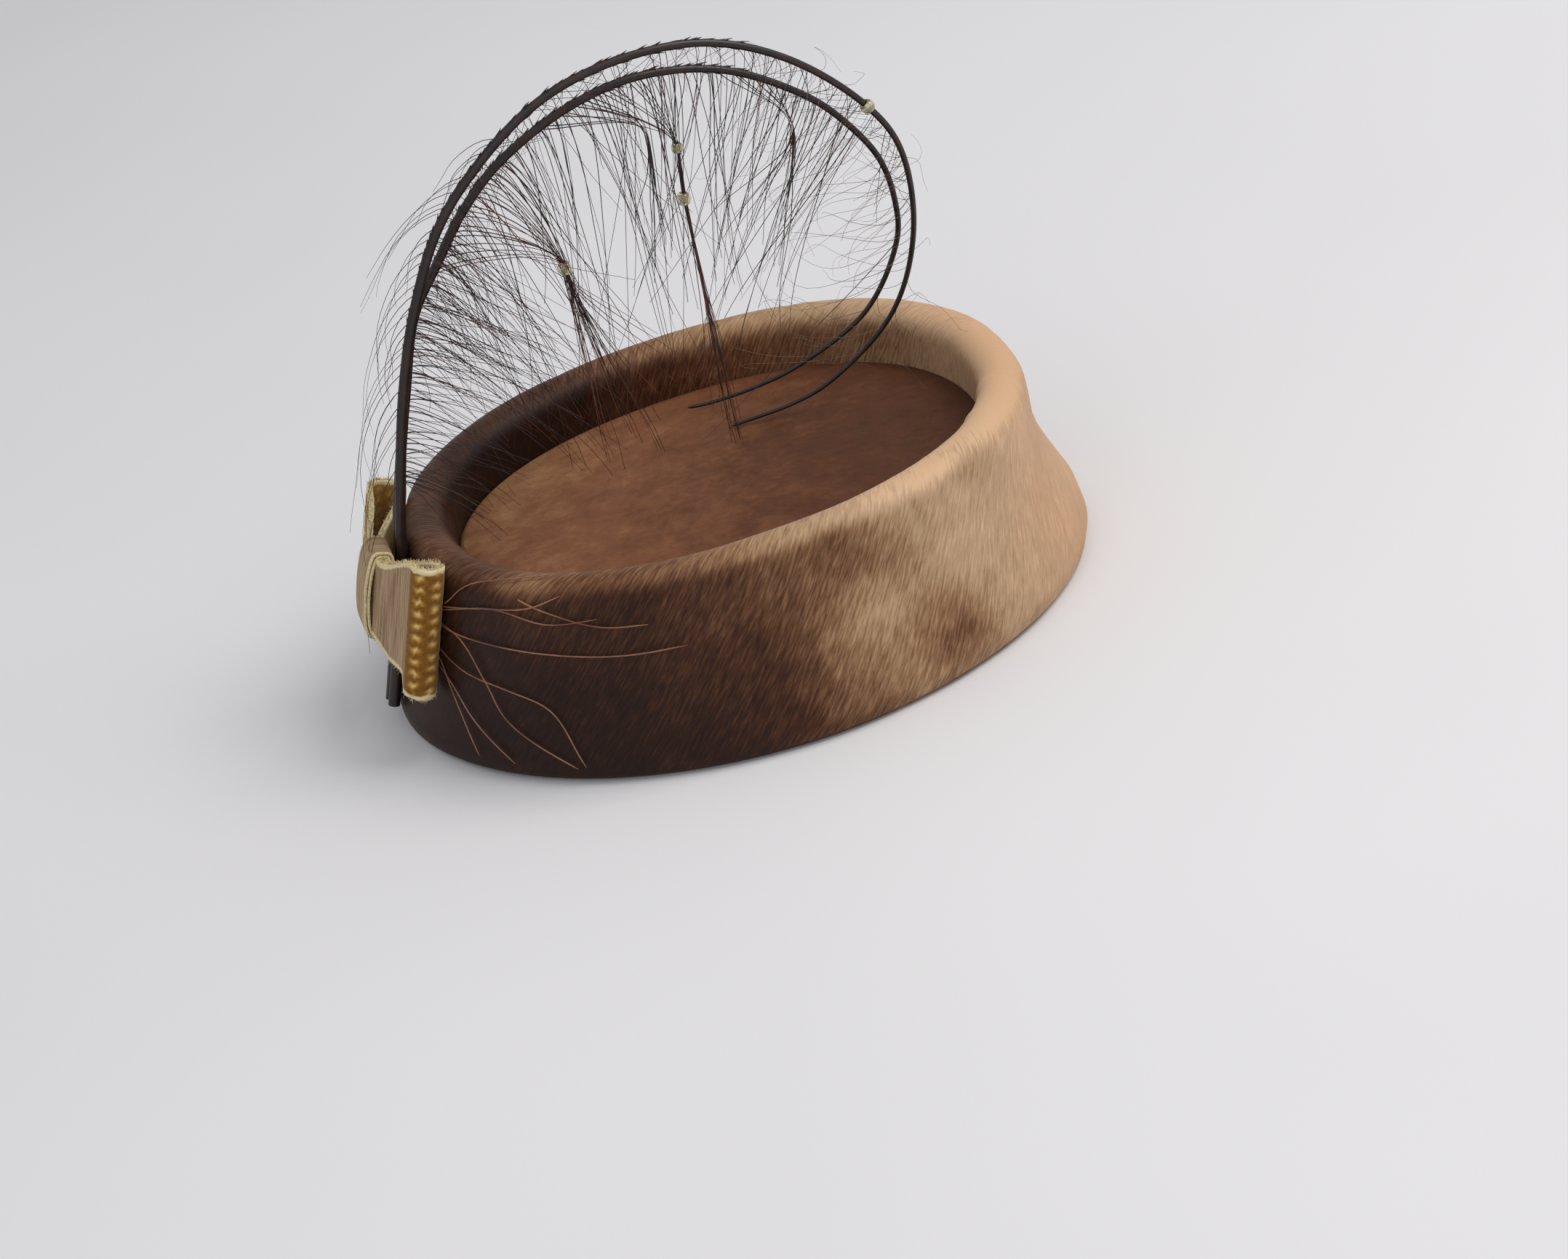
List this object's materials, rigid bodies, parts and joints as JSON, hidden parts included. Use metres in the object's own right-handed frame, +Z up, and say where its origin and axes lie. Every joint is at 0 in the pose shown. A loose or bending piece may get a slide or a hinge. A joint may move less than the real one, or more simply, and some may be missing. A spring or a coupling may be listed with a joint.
{
  "type": "fascinator hat",
  "caption": "Pillbox hat with a rolled velvet band, a sunken crown, a flat ribbon bow at the back and curled quills looping over the top.",
  "frame": {"origin": "under the middle of the whole hat, bow included, on the plane that the hem stands on", "axes": "+X to the front of the hat, +Y to the wearer's left, +Z up through the crown"},
  "size_m": [0.196, 0.1672, 0.1599],
  "materials": {
    "band_velvet": "panne velvet in brown fading to pale gold",
    "crown_velvet": "crushed velvet over a stiffened oval",
    "ribbon_velvet": "olive gold velvet ribbon with a taupe back",
    "quill": "dark horn of a stripped quill with fine barbs",
    "bead_glass": "pale yellow drilled glass"
  },
  "bodies": {
    "root": {"band": "band_velvet", "crown_wall": "band_velvet", "crown": "crown_velvet", "bow_loop_right": "ribbon_velvet", "bow_loop_left": "ribbon_velvet", "bow_knot": "ribbon_velvet", "quill_outer": "quill", "quill_inner": "quill", "bead_1": "bead_glass", "bead_2": "bead_glass", "bead_3": "bead_glass", "bead_4": "bead_glass"}
  },
  "joints": []
}
